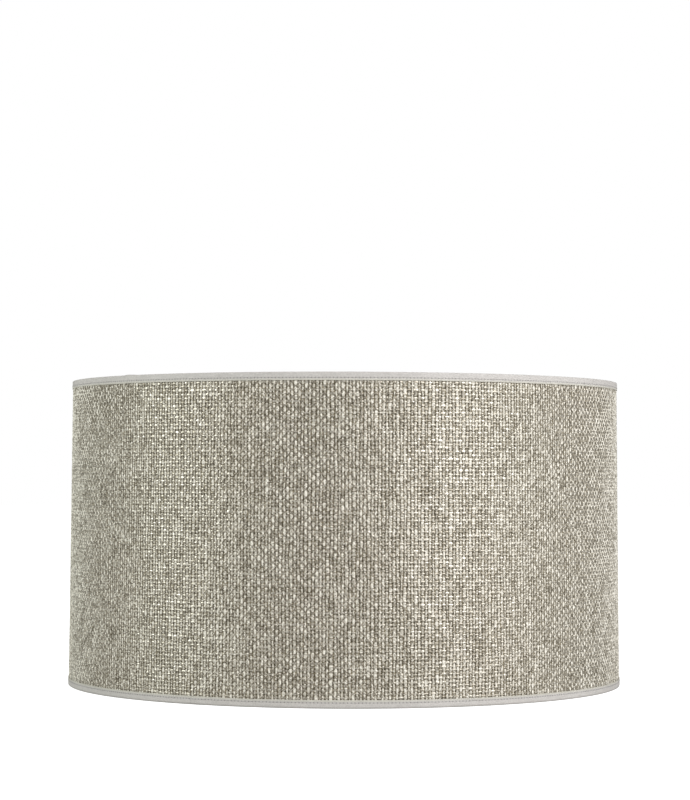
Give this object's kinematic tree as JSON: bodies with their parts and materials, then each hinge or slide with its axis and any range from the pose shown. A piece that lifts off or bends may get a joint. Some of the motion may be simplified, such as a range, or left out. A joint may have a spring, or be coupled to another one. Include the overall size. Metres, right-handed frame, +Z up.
{
  "type": "lamp shade",
  "caption": "Low drum lamp shade in coarse woven fabric, bound and stitched at both rims, with a spoked ring fitter near the top.",
  "frame": {"origin": "centre of the bottom rim, in the plane that the shade stands on", "axes": "+Z up along the drum's axis, -Y towards the front, +X to the right seen from the front; the lap seam is at the back"},
  "size_m": [0.5504, 0.5505, 0.3],
  "materials": {
    "cover": "coarse plain weave, matt taupe warp and silkier cream weft",
    "liner": "satin white sheet",
    "tape": "clear adhesive film",
    "ring_wire": "white powder coat",
    "binding": "fine grosgrain ribbon, light grey",
    "thread": "sewing thread, light grey",
    "fitter_metal": "white powder coat"
  },
  "bodies": {
    "root": {"fabric_cover": "cover", "liner_sheet": "liner", "seam_tape": "tape", "top_ring": "ring_wire", "bottom_ring": "ring_wire", "top_trim": "binding", "bottom_trim": "binding", "top_stitching": "thread", "bottom_stitching": "thread", "fitter_ring": "fitter_metal", "spoke_rear": "fitter_metal", "spoke_left": "fitter_metal", "spoke_right": "fitter_metal", "fitter_welds": "fitter_metal", "rim_weld_rear": "fitter_metal", "rim_weld_left": "fitter_metal", "rim_weld_right": "fitter_metal"}
  },
  "joints": []
}
